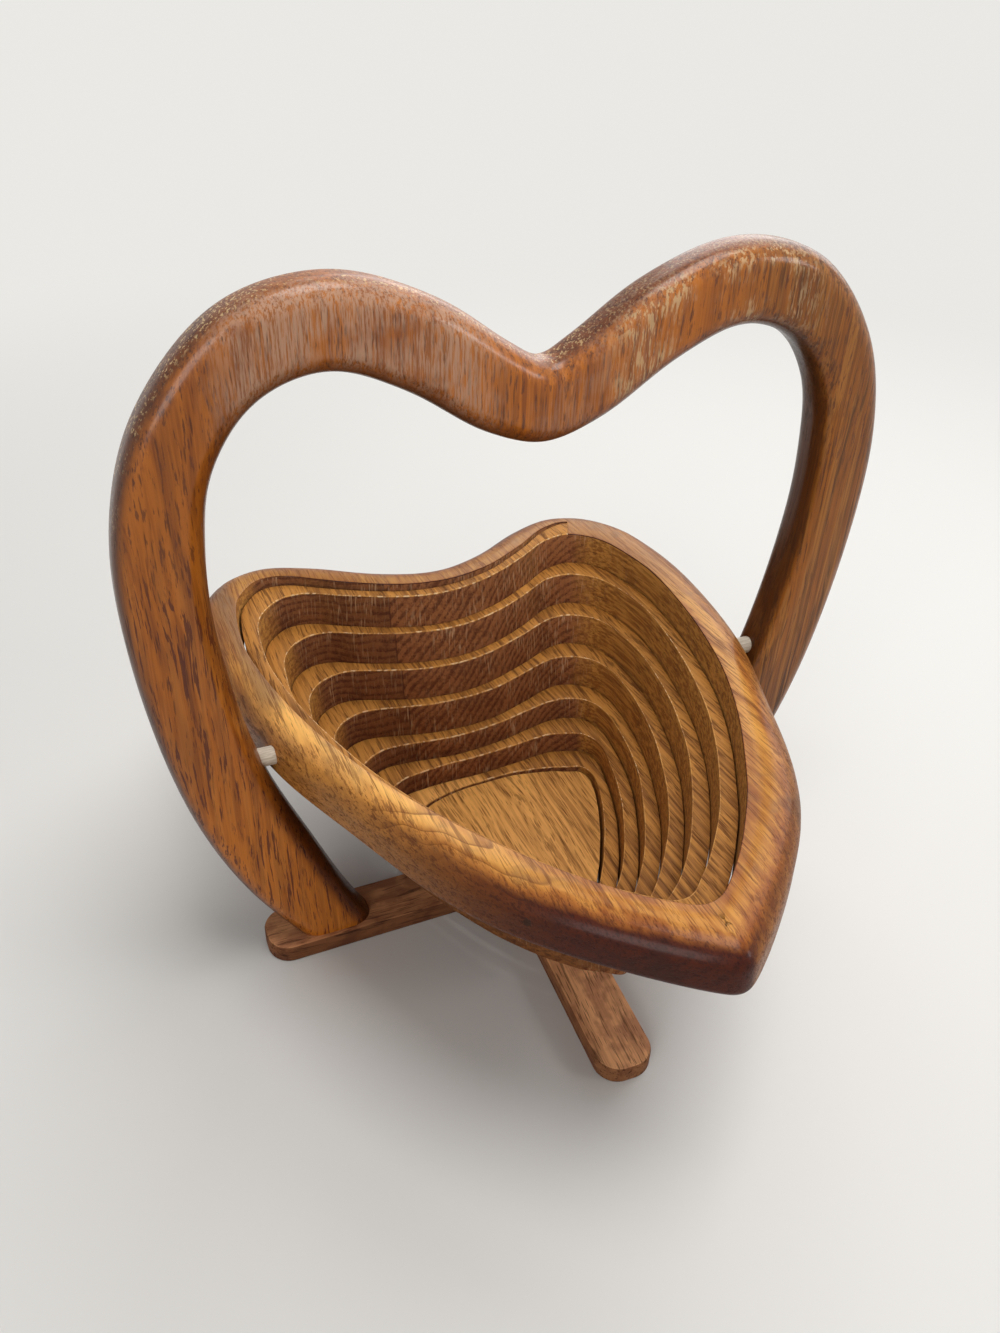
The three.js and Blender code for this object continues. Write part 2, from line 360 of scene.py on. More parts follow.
class Wood:
    """Writes one material's nodes. Lengths in its patterns are in millimetres."""

    def __init__(self, name):
        self.material = bpy.data.materials.new(name)
        self.material.use_nodes = True
        self.tree = self.material.node_tree
        self.shader = self.tree.nodes["Principled BSDF"]

    def node(self, kind, inputs, output=0, **settings):
        """New node whose inputs are set or linked. Returns one of its outputs."""
        made = self.tree.nodes.new(kind)
        for key, value in settings.items():
            setattr(made, key, value)
        for key, value in inputs.items():
            if isinstance(value, bpy.types.NodeSocket):
                self.tree.links.new(value, made.inputs[key])
            else:
                made.inputs[key].default_value = value
        return made.outputs[output]

    def math(self, operation, *values, clamp=False):
        return self.node("ShaderNodeMath", dict(enumerate(values)), operation=operation, use_clamp=clamp)

    def product(self, *factors):
        total = factors[0]
        for factor in factors[1:]:
            total = self.math("MULTIPLY", total, factor)
        return total

    def vector(self, operation, a, b):
        return self.node("ShaderNodeVectorMath", {0: a, 1: b}, operation=operation)

    def distance(self, p, centre):
        return self.node("ShaderNodeVectorMath", {0: p, 1: centre}, 1, operation="DISTANCE")

    def split(self, vector):
        made = self.tree.nodes.new("ShaderNodeSeparateXYZ")
        self.tree.links.new(vector, made.inputs[0])
        return made.outputs

    def ease(self, value, low, high, start=0.0, end=1.0):
        """Smooth step from start, where value is low, to end, where it is high."""
        return self.node(
            "ShaderNodeMapRange",
            {"Value": value, "From Min": low, "From Max": high, "To Min": start, "To Max": end},
            interpolation_type="SMOOTHSTEP",
        )

    def mix(self, factor, a, b, blend="MIX"):
        made = self.tree.nodes.new("ShaderNodeMix")
        made.data_type = "RGBA"
        made.blend_type = blend
        for key, value in ((MIX_FACTOR, factor), (MIX_A, a), (MIX_B, b)):
            if isinstance(value, bpy.types.NodeSocket):
                self.tree.links.new(value, made.inputs[key])
            else:
                made.inputs[key].default_value = (*value, 1) if isinstance(value, tuple) else value
        return made.outputs[MIX_RESULT]

    def place(self):
        """Place in the board."""
        made = self.tree.nodes.new("ShaderNodeAttribute")
        made.attribute_name = "board"
        return self.vector("MULTIPLY", made.outputs["Vector"], (1000, 1000, 1000))

    def facing(self):
        """Direction that the surface faces, in the piece's own frame."""
        return self.split(self.tree.nodes.new("ShaderNodeTexCoord").outputs["Normal"])

    def cells(self, p, size):
        """Place counted in cells of the given size."""
        return self.vector("MULTIPLY", p, tuple(1 / edge for edge in size))

    def noise(self, p, size, detail=2.0, roughness=0.5, output=0):
        """Noise whose forms are about as large as the given size."""
        inputs = {"Vector": self.cells(p, size), "Scale": 1.0, "Detail": detail, "Roughness": roughness}
        return self.node("ShaderNodeTexNoise", inputs, output)

    def grain(self, p, across, along, detail=2.0, roughness=0.55):
        """Noise drawn out along the grain."""
        return self.noise(p, (across, along, across), detail, roughness)

    def lines(self, p, across, along, low=0.55, high=0.61):
        """Thin long lines along the grain: 1 inside a line."""
        return self.ease(self.grain(p, across, along, 3.0, 0.65), low, high)

    def pores(self, p, size, limit):
        """Scattered pores, one at most in each cell: 1 inside a pore."""
        near = self.node("ShaderNodeTexVoronoi", {"Vector": self.cells(p, size), "Scale": 1.0})
        return self.ease(self.math("DIVIDE", near, limit), 1.35, 0.65)

    def set_bump(self, height, relief):
        bump = self.node("ShaderNodeBump", {"Height": height, "Strength": BUMP_STRENGTH, "Distance": relief})
        self.tree.links.new(bump, self.shader.inputs["Normal"])


class Oak(Wood):
    """Oak as a solid: growth rings round two piths, one on each side of a glue line, and long open pores.

    u, v and w are the place in the board: v runs along the grain and w through the board's thickness.
    p is that place, and q is the same with the grain's drift. Each layer that is added works on the
    colour, the roughness and the height so far. The rings' spacing is ring, and rings, streaks and pores
    say how strongly each shows.
    """

    def __init__(
        self, name, light, dark, pore, ring=3.4, rings=0.4, streaks=0.5, pores=1.0, roughness=0.42
    ):
        super().__init__(name)
        self.pore = pore
        p = self.p = self.place()
        self.u, self.v, self.w = self.split(p)
        self.nx, self.ny, self.nz = self.facing()
        drift = self.vector("SUBTRACT", self.noise(p, DRIFT_SIZE, output=1), (0.5, 0.5, 0.5))
        q = self.q = self.vector("ADD", p, self.vector("MULTIPLY", drift, DRIFT_REACH))
        early = self.early_wood(q, ring)
        fine = self.grain(p, 0.5, 24, 3.0, 0.6)
        middle = self.grain(q, 1.7, 60, 2.0, 0.6)
        broad = self.grain(p, 15, 80)
        tone = self.math("MULTIPLY_ADD", early, rings, self.ease(broad, 0.34, 0.66, -0.15, 0.35))
        tone = self.math("ADD", tone, self.ease(middle, 0.36, 0.64, -0.5 * streaks, streaks))
        tone = self.math("ADD", tone, self.ease(fine, 0.36, 0.64, -0.15, 0.2), clamp=True)
        self.color = self.mix(tone, light, dark)
        self.rough = self.ease(fine, 0.3, 0.7, roughness - 0.05, roughness + 0.08)
        self.height = self.math("MULTIPLY", fine, 0.35)
        # The pores are widest in the early wood
        limit = self.math("MULTIPLY", self.math("MULTIPLY_ADD", early, 0.16, 0.15), pores)
        self.darken(self.pores(q, PORE_CELL, limit), 0.7, depth=1.0)

    def early_wood(self, q, ring):
        """1 in the early wood of each growth ring."""
        u, _, w = self.split(q)
        right = self.math("GREATER_THAN", self.u, GLUE_LINE)
        pith_u, pith_w = (
            self.math("MULTIPLY_ADD", right, right_pith - left_pith, left_pith)
            for left_pith, right_pith in zip(LEFT_PITH, RIGHT_PITH)
        )
        across = self.math("SUBTRACT", u, pith_u)
        depth = self.math("SUBTRACT", w, pith_w)
        squares = self.math("ADD", self.product(across, across), self.product(depth, depth))
        phase = self.math("FRACT", self.math("DIVIDE", self.math("SQRT", squares), ring))
        return self.product(self.ease(phase, 0.0, 0.12), self.ease(phase, 0.62, 0.3))

    def darken(self, amount, strength, color=None, depth=0.0):
        """Lays the pores' colour or another dark one over, sunk by depth."""
        amount = self.math("MULTIPLY", amount, strength)
        self.color = self.mix(amount, self.color, color or self.pore)
        if depth:
            self.height = self.math("MULTIPLY_ADD", amount, -depth, self.height)
            self.rough = self.math("MULTIPLY_ADD", amount, 0.2, self.rough)

    def tint(self, amount, color):
        """Lays a colour over."""
        self.color = self.mix(amount, self.color, color)

    def shade(self, amount, tint):
        """Deepens the colour and keeps its figure."""
        self.color = self.mix(amount, self.color, self.mix(1.0, self.color, tint, "MULTIPLY"))

    def finish(self, coat=0.0, gloss=0.2):
        self.tree.links.new(self.color, self.shader.inputs["Base Color"])
        self.tree.links.new(self.rough, self.shader.inputs["Roughness"])
        self.set_bump(self.height, OAK_RELIEF)
        self.shader.inputs["Specular IOR Level"].default_value = gloss
        self.shader.inputs["Coat Weight"].default_value = coat
        self.shader.inputs["Coat Roughness"].default_value = 0.2
        return self.material


def color_arms(m):
    """Figure of the handle's two arms."""
    low = m.ease(m.v, 112, 76)
    m.darken(m.ease(m.u, 40, 105), 0.5, (0.2, 0.072, 0.006))
    m.tint(m.product(m.ease(m.u, -40, -70), m.ease(m.v, 25, -35), 0.25), (0.8, 0.26, 0.02))
    # Left arm: pale streaks and short dark dashes
    pale = m.lines(m.p, 2.6, 70, 0.5, 0.6)
    m.tint(m.product(pale, m.ease(m.u, -60, -90), low, 0.25), (0.74, 0.28, 0.045))
    dashes = m.lines(m.q, 1.1, 26, 0.565, 0.61)
    m.darken(m.product(dashes, m.ease(m.u, -45, -85), low), 0.85, (0.11, 0.022, 0.009), 1.0)
    m.shade(m.product(m.ease(m.u, -60, -95), m.ease(m.v, -30, 30)), (0.82, 0.82, 0.95))
    # Right arm: pale and dark streaks down its whole length
    right_arm = m.ease(m.u, 62, 90)
    m.tint(m.product(m.lines(m.p, 2.4, 95, 0.5, 0.58), right_arm, 0.45), (0.52, 0.22, 0.04))
    m.darken(m.product(m.lines(m.p, 1.0, 110, 0.5, 0.57), right_arm), 0.5, (0.11, 0.036, 0.006), 0.4)
    m.darken(m.product(m.lines(m.q, 1.5, 70), right_arm), 0.7, (0.07, 0.024, 0.005), 0.6)


def wear_top(m, top):
    """Greyish-pink wear on the handle's front, with fine upright fibres, and golden wear on the right."""
    blotch = m.noise(m.p, (22, 18, 12), 3.0, 0.6)
    fibres = m.grain(m.p, 0.8, 12, 3.0, 0.75)
    left = m.product(m.ease(m.u, -116, -96), m.ease(m.u, -8, -34))
    cleft = m.product(m.ease(m.u, -14, -2), m.ease(m.u, 112, 8, 0.0, 0.4))
    worn = m.product(
        m.math("ADD", left, cleft, clamp=True),
        top,
        m.ease(m.w, 0, 6),
        m.ease(blotch, 0.32, 0.58, 0.15, 1.0),
        m.ease(fibres, 0.38, 0.58, 0.15, 1.0),
    )
    m.tint(m.product(worn, 0.82), GREYISH_PINK)
    m.rough = m.math("MULTIPLY_ADD", worn, 0.2, m.rough)
    right = m.product(m.ease(m.u, 14, 30), m.ease(m.u, 112, 80))
    golden = m.product(right, top, m.lines(m.p, 1.2, 9, 0.5, 0.58), m.ease(blotch, 0.4, 0.56))
    m.tint(m.product(golden, 0.75), GOLDEN)


def handle_wood():
    """Glossy red-brown finish, worn pale along the top."""
    m = Oak(
        "handle_oak",
        light=(0.57, 0.172, 0.015),
        dark=(0.31, 0.08, 0.008),
        pore=(0.055, 0.012, 0.005),
        rings=0.35,
        pores=0.9,
    )
    top = m.ease(m.v, 78, 104)
    m.darken(m.lines(m.q, 4.5, 90, 0.5, 0.64), 0.35, (0.2, 0.06, 0.012))
    color_arms(m)
    short_lines = m.lines(m.p, 1.1, 9, 0.56, 0.64)
    m.darken(m.product(short_lines, m.ease(m.v, 70, 96)), 0.75, (0.12, 0.034, 0.012), 0.6)
    wear_top(m, top)

    # Painted shade: darker round the edges, behind, underneath and on the left
    rounded = m.ease(m.math("ABSOLUTE", m.ny), 0.93, 0.45)
    m.darken(m.product(rounded, m.ease(m.nz, 0.75, 0.1, 0.3, 1.0)), 0.68, (0.12, 0.038, 0.009))
    m.shade(m.product(m.ease(m.nz, -0.05, -0.7), 0.75), (0.34, 0.27, 0.3))
    m.shade(m.product(rounded, m.ease(m.nx, -0.1, -0.7, 0.0, 0.9)), (0.42, 0.37, 0.48))
    # Painted shadow: the left arm is dark where it faces the basket, in the basket's shadow
    basket_shadow = m.product(m.ease(m.nx, 0.0, 0.5), m.ease(m.u, -20, -50), m.ease(m.v, 15, -30))
    m.shade(basket_shadow, (0.32, 0.25, 0.25))

    # Pale golden specks in the end grain, where the finish is rubbed off
    outer = m.product(m.ease(m.ny, -0.7, -0.35), m.ease(m.nz, 0.1, 0.4))
    m.shade(m.product(outer, m.ease(m.v, 50, 90), m.ease(m.u, -60, 60, 0.45, 1.0)), (0.58, 0.47, 0.45))
    rubbed = m.ease(m.noise(m.p, (18, 18, 8), 3.0, 0.65), 0.4, 0.52)
    specks = m.product(m.lines(m.p, 0.9, 1.6, 0.54, 0.6), outer, top, rubbed, m.ease(m.u, 30, 0, 0.4, 1.0))
    m.tint(m.product(specks, 0.7), SPECKS)
    return m.finish(coat=0.55, gloss=0.12)


def draw_figure(m):
    """Arched grain on the left of the rim's front, and a grey streak on its left lobe."""
    wobble = m.noise(m.p, (22, 55, 22), 2.0, 0.55)
    # The arches lean: off is the distance from their middle line, and they are parabolas across it
    lean = m.math("MULTIPLY_ADD", m.v, 0.5, 97)
    off = m.math("ADD", m.math("ADD", m.u, lean), m.math("MULTIPLY_ADD", wobble, 12, -6))
    bow = m.math("MULTIPLY_ADD", m.product(off, off), -0.26, m.product(wobble, 12))
    arch = m.math("FRACT", m.math("DIVIDE", m.math("ADD", m.v, bow), 21))
    near = m.product(m.ease(m.math("ABSOLUTE", off), 16, 8), m.ease(m.v, -45, -66), m.ease(m.v, -126, -104))
    m.darken(m.product(m.ease(arch, 0.55, 0.0), near), 0.55, (0.3, 0.105, 0.018))
    thin = m.product(m.ease(arch, 0.14, 0.02), m.ease(arch, 0.0, 0.05))
    m.darken(m.product(thin, near), 0.55, (0.14, 0.045, 0.009))
    streak = m.math("ABSOLUTE", m.math("ADD", m.u, m.math("MULTIPLY_ADD", wobble, 12, 91)))
    streak = m.product(m.ease(streak, 7, 2), m.ease(m.v, 8, 28), m.ease(m.nz, 0.5, 0.9))
    m.darken(streak, 0.6, (0.2, 0.11, 0.055))


def rim_wood():
    """Golden top with fine lines along the grain, and a dark red-brown side."""
    m = Oak(
        "rim_oak",
        light=(0.95, 0.46, 0.088),
        dark=(0.53, 0.195, 0.03),
        pore=(0.17, 0.05, 0.011),
        ring=5.0,
        rings=0.5,
    )
    # Colour from place to place: brown behind, on the right and towards the tip, and pale on the left
    broad_streaks = m.lines(m.q, 5.0, 60, 0.5, 0.6)
    m.darken(m.product(broad_streaks, m.ease(m.u, -30, -70)), 0.35, (0.2, 0.095, 0.035))
    m.darken(m.ease(m.v, 15, 80), 0.72, (0.25, 0.095, 0.017))
    m.tint(m.product(m.ease(m.u, -25, -70), m.ease(m.v, 45, 5), 0.5), (1.0, 0.58, 0.17))
    m.darken(m.ease(m.v, -45, -115), 0.5, (0.36, 0.12, 0.015))
    m.darken(m.ease(m.u, -40, 90), 0.42, (0.32, 0.125, 0.02))
    draw_figure(m)
    m.darken(m.ease(m.noise(m.p, (17, 17, 17), 3.0, 0.6), 0.55, 0.7), 0.45, (0.2, 0.1, 0.04))
    m.darken(m.lines(m.q, 1.3, 45), 0.55, depth=0.6)
    m.darken(m.lines(m.p, 0.75, 24, 0.56, 0.61), 0.55, (0.2, 0.062, 0.012), 0.6)

    # Over the rounded edge the colour darkens, most of all in front towards the tip and less on the right
    # side: partly the darker finish and end grain of the side, partly painted shade on the side that faces
    # away from the lamps
    forward = m.ease(m.u, -92, -38, 0.5, 1.0)
    ragged = m.noise(m.q, (7, 30, 7), 3.0, 0.6)
    level = m.math("ABSOLUTE", m.nz)
    edge = m.math("ADD", level, m.math("MULTIPLY_ADD", ragged, 0.24, -0.12))
    rounded = m.product(m.ease(level, 1.0, 0.985), forward, m.ease(m.nx, 0.2, 0.6, 1.0, 0.45))
    m.shade(m.product(m.ease(edge, 1.04, 0.92), rounded), (0.66, 0.48, 0.38))
    m.shade(m.product(m.ease(edge, 0.99, 0.76), rounded), (0.18, 0.072, 0.028))
    side_lines = m.product(m.lines(m.p, 0.9, 12, 0.55, 0.62), m.ease(m.nz, 0.9, 0.5))
    m.darken(side_lines, 0.4, (0.05, 0.012, 0.004), 0.6)

    # Small dark knot in the front
    knot = m.distance(m.p, (-50.0, -114.5, 0.5))
    ragged = m.product(m.noise(m.p, (1, 1, 1), 2.0, 0.6), 2.4)
    m.darken(m.ease(m.math("ADD", knot, ragged), 3.0, 2.3), 0.9, (0.03, 0.01, 0.004), 2.0)
    return m.finish(coat=0.2, gloss=0.12)


def ledge_wood(name, light, dark, dashes):
    """Sawn top of the strip or the base, gold with dark dashes."""
    m = Oak(name, light, dark, pore=(0.1, 0.032, 0.007), roughness=0.6)
    m.darken(m.lines(m.q, 1.3, 26, 0.53, 0.62), dashes, depth=0.6)
    return m.finish()


def edge_wood():
    """Eased edge of the strip, rubbed pale in places behind."""
    m = Oak(
        "edge_oak",
        light=(0.62, 0.3, 0.075),
        dark=(0.33, 0.13, 0.03),
        pore=(0.12, 0.042, 0.014),
        roughness=0.6,
    )
    # Painted shade: the edges that face left or right, where the lamps catch them, are darkened
    along = m.ease(m.math("ABSOLUTE", m.nx), 0.45, 0.68)
    m.shade(along, (0.72, 0.68, 0.62))
    frayed = m.ease(m.noise(m.p, (2.2, 2.2, 2.2), 3.0, 0.75), 0.5, 0.6, 0.0, 0.85)
    behind = m.product(m.math("SUBTRACT", 1.0, along), m.ease(m.v, -35, 5, 0.15, 1.0))
    m.tint(m.product(frayed, behind), FRAYED)
    return m.finish()


def wall_wood(name, light, dark):
    """Sawn walls: dark across the grain with pale upright scratches, and of the given colours along it."""
    m = Oak(
        name,
        light=(0.31, 0.12, 0.043),
        dark=(0.128, 0.042, 0.016),
        pore=(0.055, 0.017, 0.008),
        rings=0.55,
        streaks=0.4,
        roughness=0.65,
    )
    along = m.ease(m.math("ABSOLUTE", m.nx), 0.45, 0.9)
    across = m.math("SUBTRACT", 1.0, m.product(along, 0.8))
    side_grain = m.mix(m.ease(m.grain(m.p, 1.4, 40, 3.0, 0.6), 0.38, 0.62), light, dark)
    side_grain = m.mix(m.product(m.lines(m.q, 1.2, 24, 0.56, 0.64), 0.6), side_grain, (0.09, 0.03, 0.008))
    m.tint(m.product(along, 0.85), side_grain)
    # The left half of the board is darker, and the glue line shows
    m.darken(m.product(m.math("LESS_THAN", m.u, GLUE_LINE), across), 0.3)
    m.darken(m.ease(m.math("ABSOLUTE", m.math("SUBTRACT", m.u, GLUE_LINE)), 0.45, 0.15), 0.6)
    # Scratches come in patches, and in one place at the back
    scratch = m.noise(m.p, (0.9, 0.9, 40), 2.0, 0.7)
    patches = m.ease(m.noise(m.p, (16, 16, 30)), 0.42, 0.6, 0.12, 0.8)
    patch = m.ease(m.distance(m.p, (44.0, 100.0, 0.0)), 24, 12)
    scuffed = m.math("ADD", patches, patch, clamp=True)
    scuffs = m.product(m.ease(scratch, 0.52, 0.7), scuffed, across)
    m.tint(m.product(scuffs, 0.82), SCUFFED)
    m.height = m.math("MULTIPLY_ADD", scratch, 0.9, m.height)
    return m.finish()


def slat_wood():
    """Plain brown slats with dark streaks, a little weathered."""
    m = Oak(
        "slat_oak",
        light=(0.82, 0.41, 0.185),
        dark=(0.52, 0.235, 0.105),
        pore=(0.1, 0.038, 0.018),
        ring=6.0,
        rings=0.25,
        streaks=0.4,
        pores=0.8,
        roughness=0.66,
    )
    m.darken(m.lines(m.q, 1.6, 34, 0.56, 0.63), 0.62, depth=0.6)
    m.shade(m.ease(m.noise(m.p, (9, 13, 9), 3.0, 0.62), 0.42, 0.62), (0.66, 0.6, 0.62))
    # Painted shade: the slats' sides are darker than their tops
    m.shade(m.ease(m.nz, 0.85, 0.4), (0.42, 0.36, 0.34))
    # The long slat is the darker one, and lies further along its board
    m.shade(m.ease(m.v, 400, 500), (0.74, 0.68, 0.66))
    return m.finish()


def birch_wood():
    """Pale dowel, unfinished and a little fibrous."""
    m = Wood("pin_birch")
    fibres = m.noise(m.place(), (5, 0.4, 0.4), 3.0, 0.6)
    color = m.mix(m.ease(fibres, 0.35, 0.65), (0.68, 0.6, 0.49), (0.5, 0.41, 0.31))
    m.tree.links.new(color, m.shader.inputs["Base Color"])
    m.set_bump(fibres, BIRCH_RELIEF)
    m.shader.inputs["Roughness"].default_value = 0.75
    return m.material


handle_oak, rim_oak, edge_oak, slat_oak = handle_wood(), rim_wood(), edge_wood(), slat_wood()
# The ledges and the base are one sawn top in a darker and a lighter copy: painted shade on the ledges and
# painted light on the base
shaded_ledge_oak = ledge_wood("shaded_ledge_oak", (0.49, 0.208, 0.039), (0.235, 0.088, 0.0155), dashes=0.72)
lit_base_oak = ledge_wood("lit_base_oak", (0.7, 0.335, 0.083), (0.42, 0.18, 0.04), dashes=0.55)
wall_oak = wall_wood("wall_oak", (0.56, 0.27, 0.056), (0.28, 0.115, 0.022))
# The walls that face out, under the turn above, are a darker copy of the sawn wall: painted shade
shaded_outer_oak = wall_wood("shaded_outer_oak", (0.26, 0.1, 0.026), (0.12, 0.042, 0.012))
pin_birch = birch_wood()


# ---------------------------------------------------------------- pieces


def eased_profile(low, high, ease, between=()):
    """Heights from low to high, each with how far its row is set in to ease the two edges."""
    foot = [(low, ease), (low + 0.3 * ease, 0.3 * ease), (low + ease, 0)]
    top = [(high - ease, 0), (high - 0.3 * ease, 0.3 * ease), (high, ease)]
    return foot + [(height, 0) for height in between] + top


BASE_PROFILE = eased_profile(-HALF_BOARD, HALF_BOARD, SAWN_EASE)
WALL_PROFILE = eased_profile(-HALF_BOARD, HALF_BOARD, SAWN_EASE, between=(-3, 3))

# Faces of a wall between its eased edges
SAWN_FACES = {2, 3, 4}

# The strip's materials, and which of them is on each face round it, from the outer wall's foot up and over
LEDGE, WALL, EDGE, OUTER = range(4)
STRIP_FACES = [OUTER] * 5 + [LEDGE] * 3 + [EDGE] * 2 + [WALL] * 3 + [LEDGE] * 3

# How far out from the middle the tools that cut the pins' holes reach
HANDLE_BORE_START, HANDLE_BORE_END, RIM_BORE_END = 60.0, 200.0, 160.0

# How far the tool that cuts the half lap reaches along and past the slats
NOTCH_REACH, NOTCH_SPARE = 200.0, 30.0

# Where the slats lie in their board, across and along the grain
LONG_SLAT_PLACE, CROSS_SLAT_PLACE = (-70, 700), (60, 300)

CROSS = Matrix.Translation((CROSS_SHIFT * MM, 0, 0)) @ Matrix.Rotation(math.pi / 2 + CROSS_TURN, 4, "Z")


def at_height(places, height):
    """Row of points at one height in the board."""
    return np.column_stack([places, np.full(len(places), height)])


def wall_rows(index, side, toward):
    """Rows up a sawn wall with eased edges. toward points into the wood."""
    return [
        at_height(cut_wall(index, side, height) + toward * inset, height) for height, inset in WALL_PROFILE
    ]


def corner(line, side, sign, edge):
    """Rows over a rounded edge, from the face to the side. sign is 1 at the board's top."""
    across, down = edge
    rows = []
    for k in range(CORNER_STEPS + 1):
        angle = math.pi / 2 * k / CORNER_STEPS
        places = line + side * (across * math.sin(angle) - across)
        rows.append(at_height(places, sign * (HALF_BOARD - down + down * math.cos(angle))))
    return rows


def rounded_side(line, side, top_edge, foot_edge):
    """Rows down a side that is rounded at both edges."""
    return corner(line, side, 1, top_edge) + corner(line, side, -1, foot_edge)[::-1]


def strip_object(name, start, end):
    """Stretch of the spiral strip between two steps, hanging at its own depth."""
    index = np.arange(start, end + 1)
    across = cut_wall(index + STEPS, 1, 0) - cut_wall(index, -1, 0)
    across /= np.linalg.norm(across, axis=1)[:, None]
    outer, inner = wall_rows(index, -1, across), wall_rows(index + STEPS, 1, -across)
    board = np.stack(outer + inner[::-1], 1)
    hung = board.copy()
    hung[:, :, 2] -= drop(index)[:, None]
    points, faces = loft(hung)
    obj = make_object(name, tilt(points), faces, STRIP_FACES * (len(index) - 1) + [WALL, WALL])
    add_materials(obj, shaded_ledge_oak, wall_oak, edge_oak, shaded_outer_oak)
    finish_mesh(obj, board.reshape(-1, 3))
    return obj


def rim_object():
    """The rim, which steps back where the saw cut begins.

    There its two ends share all but their inner walls.
    """
    index = np.arange(CUT_START, CUT_START + STEPS + 1)
    ring = index % STEPS
    inner = wall_rows(index, 1, rim_side[ring])
    outer = rounded_side(rim_line[ring], rim_side[ring], RIM_TOP_EDGE, RIM_FOOT_EDGE)
    board = np.stack(inner + outer, 1)
    walls, count = len(inner), len(inner) + len(outer)

    def vertex(k, section):
        if section < STEPS:
            return section * count + k
        return STEPS * count + k if k < walls else k

    faces, slots = [], []
    for section in range(STEPS):
        for k in range(count):
            n = (k + 1) % count
            face = [vertex(k, section), vertex(k, section + 1), vertex(n, section + 1), vertex(n, section)]
            # Two faces reach round the step, and take in a corner of the first section
            if section == STEPS - 1 and k == walls - 1:
                face.insert(2, k)
            if section == STEPS - 1 and n == 0:
                face.insert(2, 0)
            faces.append(face)
            slots.append(1 if k in SAWN_FACES else 0)
    faces.append([STEPS * count + k for k in range(walls)] + list(range(walls - 1, -1, -1)))
    slots.append(1)
    points = np.concatenate([board[:STEPS].reshape(-1, 3), board[STEPS, :walls]])
    obj = make_object("rim_wood", tilt(points), faces, slots)
    face_out(obj)
    add_materials(obj, rim_oak, wall_oak)
    for side_of in (-1, 1):
        cut_away(obj, bore(side_of * (RIM_REACH - PIN_DEPTH - BORE_END_GAP), side_of * RIM_BORE_END))
    finish_mesh(obj, untilt)
    return obj


def base_object():
    """The base, inside the last turn of the saw cut, which ends in it as a slit."""
    outer_index = np.arange((TURNS - 1) * STEPS, CUT_END + 1)
    inner_index = np.arange(CUT_END, TURNS * STEPS - 1, -1)
    rows = []
    for height, inset in BASE_PROFILE:
        outer = cut_wall(outer_index, -1, height) - cut_side[outer_index - FIRST] * inset
        inner = cut_wall(inner_index, 1, height) + cut_side[inner_index - FIRST] * inset
        rows.append(at_height(np.concatenate([outer, inner]), height))
    points, faces = loft(np.stack(rows))
    # The wall is the third of the bands between rows
    count = len(rows[0])
    slots = [0] * len(faces)
    slots[2 * count:3 * count] = [1] * count
    obj = make_object("base_wood", tilt(points - (0, 0, FULL_DROP)), faces, slots)
    add_materials(obj, lit_base_oak, shaded_outer_oak)
    finish_mesh(obj, points)
    return obj


def handle_object():
    """The handle, with its arms cut off level at the slats' top."""
    reach = ARM_END_KNOT * STEPS_PER_KNOT
    ring = np.arange(-reach, reach + 1) % STEPS
    inner_line = rim_line[ring] + rim_side[ring] * HANDLE_GAP
    outer = rounded_side(handle_line[ring], handle_side[ring], HANDLE_EDGE, HANDLE_EDGE)
    inner = rounded_side(inner_line, -rim_side[ring], HANDLE_EDGE, HANDLE_EDGE)
    points, faces = loft(np.stack(outer + inner[::-1], 1))
    obj = make_object("handle_wood", stand_up(points), faces)
    bm = bmesh.new()
    bm.from_mesh(obj.data)
    cut = bmesh.ops.bisect_plane(
        bm,
        geom=bm.verts[:] + bm.edges[:] + bm.faces[:],
        plane_co=(0, 0, SLAT_THICKNESS * MM),
        plane_no=(0, 0, -1),
        clear_outer=True,
    )
    edges = [item for item in cut["geom_cut"] if isinstance(item, bmesh.types.BMEdge)]
    bmesh.ops.holes_fill(bm, edges=edges)
    bmesh.ops.recalc_face_normals(bm, faces=bm.faces)
    bm.to_mesh(obj.data)
    bm.free()
    for side_of in (-1, 1):
        cut_away(obj, bore(side_of * HANDLE_BORE_START, side_of * HANDLE_BORE_END))
    obj.data.materials.clear()
    obj.data.materials.append(handle_oak)
    finish_mesh(obj, unstand)
    return obj


def slat_blank(name):
    """Slat along X, with rounded corners and eased edges."""
    x, y = SLAT_LENGTH / 2 - SLAT_CORNER, SLAT_WIDTH / 2 - SLAT_CORNER
    outline, side = [], []
    for quarter, centre in enumerate(((x, y), (-x, y), (-x, -y), (x, -y))):
        for k in range(SLAT_CORNER_STEPS + 1):
            angle = math.pi / 2 * (quarter + k / SLAT_CORNER_STEPS)
            side.append((math.cos(angle), math.sin(angle)))
            outline.append(centre)
    side = np.array(side)
    outline = np.array(outline) + side * SLAT_CORNER
    profile = eased_profile(0, SLAT_THICKNESS, SLAT_EASE)
    rows = [at_height(outline - side * inset, height) for height, inset in profile]
    obj = make_object(name, *loft(np.array(rows)))
    face_out(obj)
    return obj


def slat_notch(low, high):
    """Tool that cuts the half lap, along X."""
    x, y = NOTCH_REACH, SLAT_WIDTH / 2 + LAP_GAP
    box = [[(-x, -y, z), (x, -y, z), (x, y, z), (-x, y, z)] for z in (low, high)]
    obj = make_object("notch", *loft(np.array(box)))
    face_out(obj)
    return obj


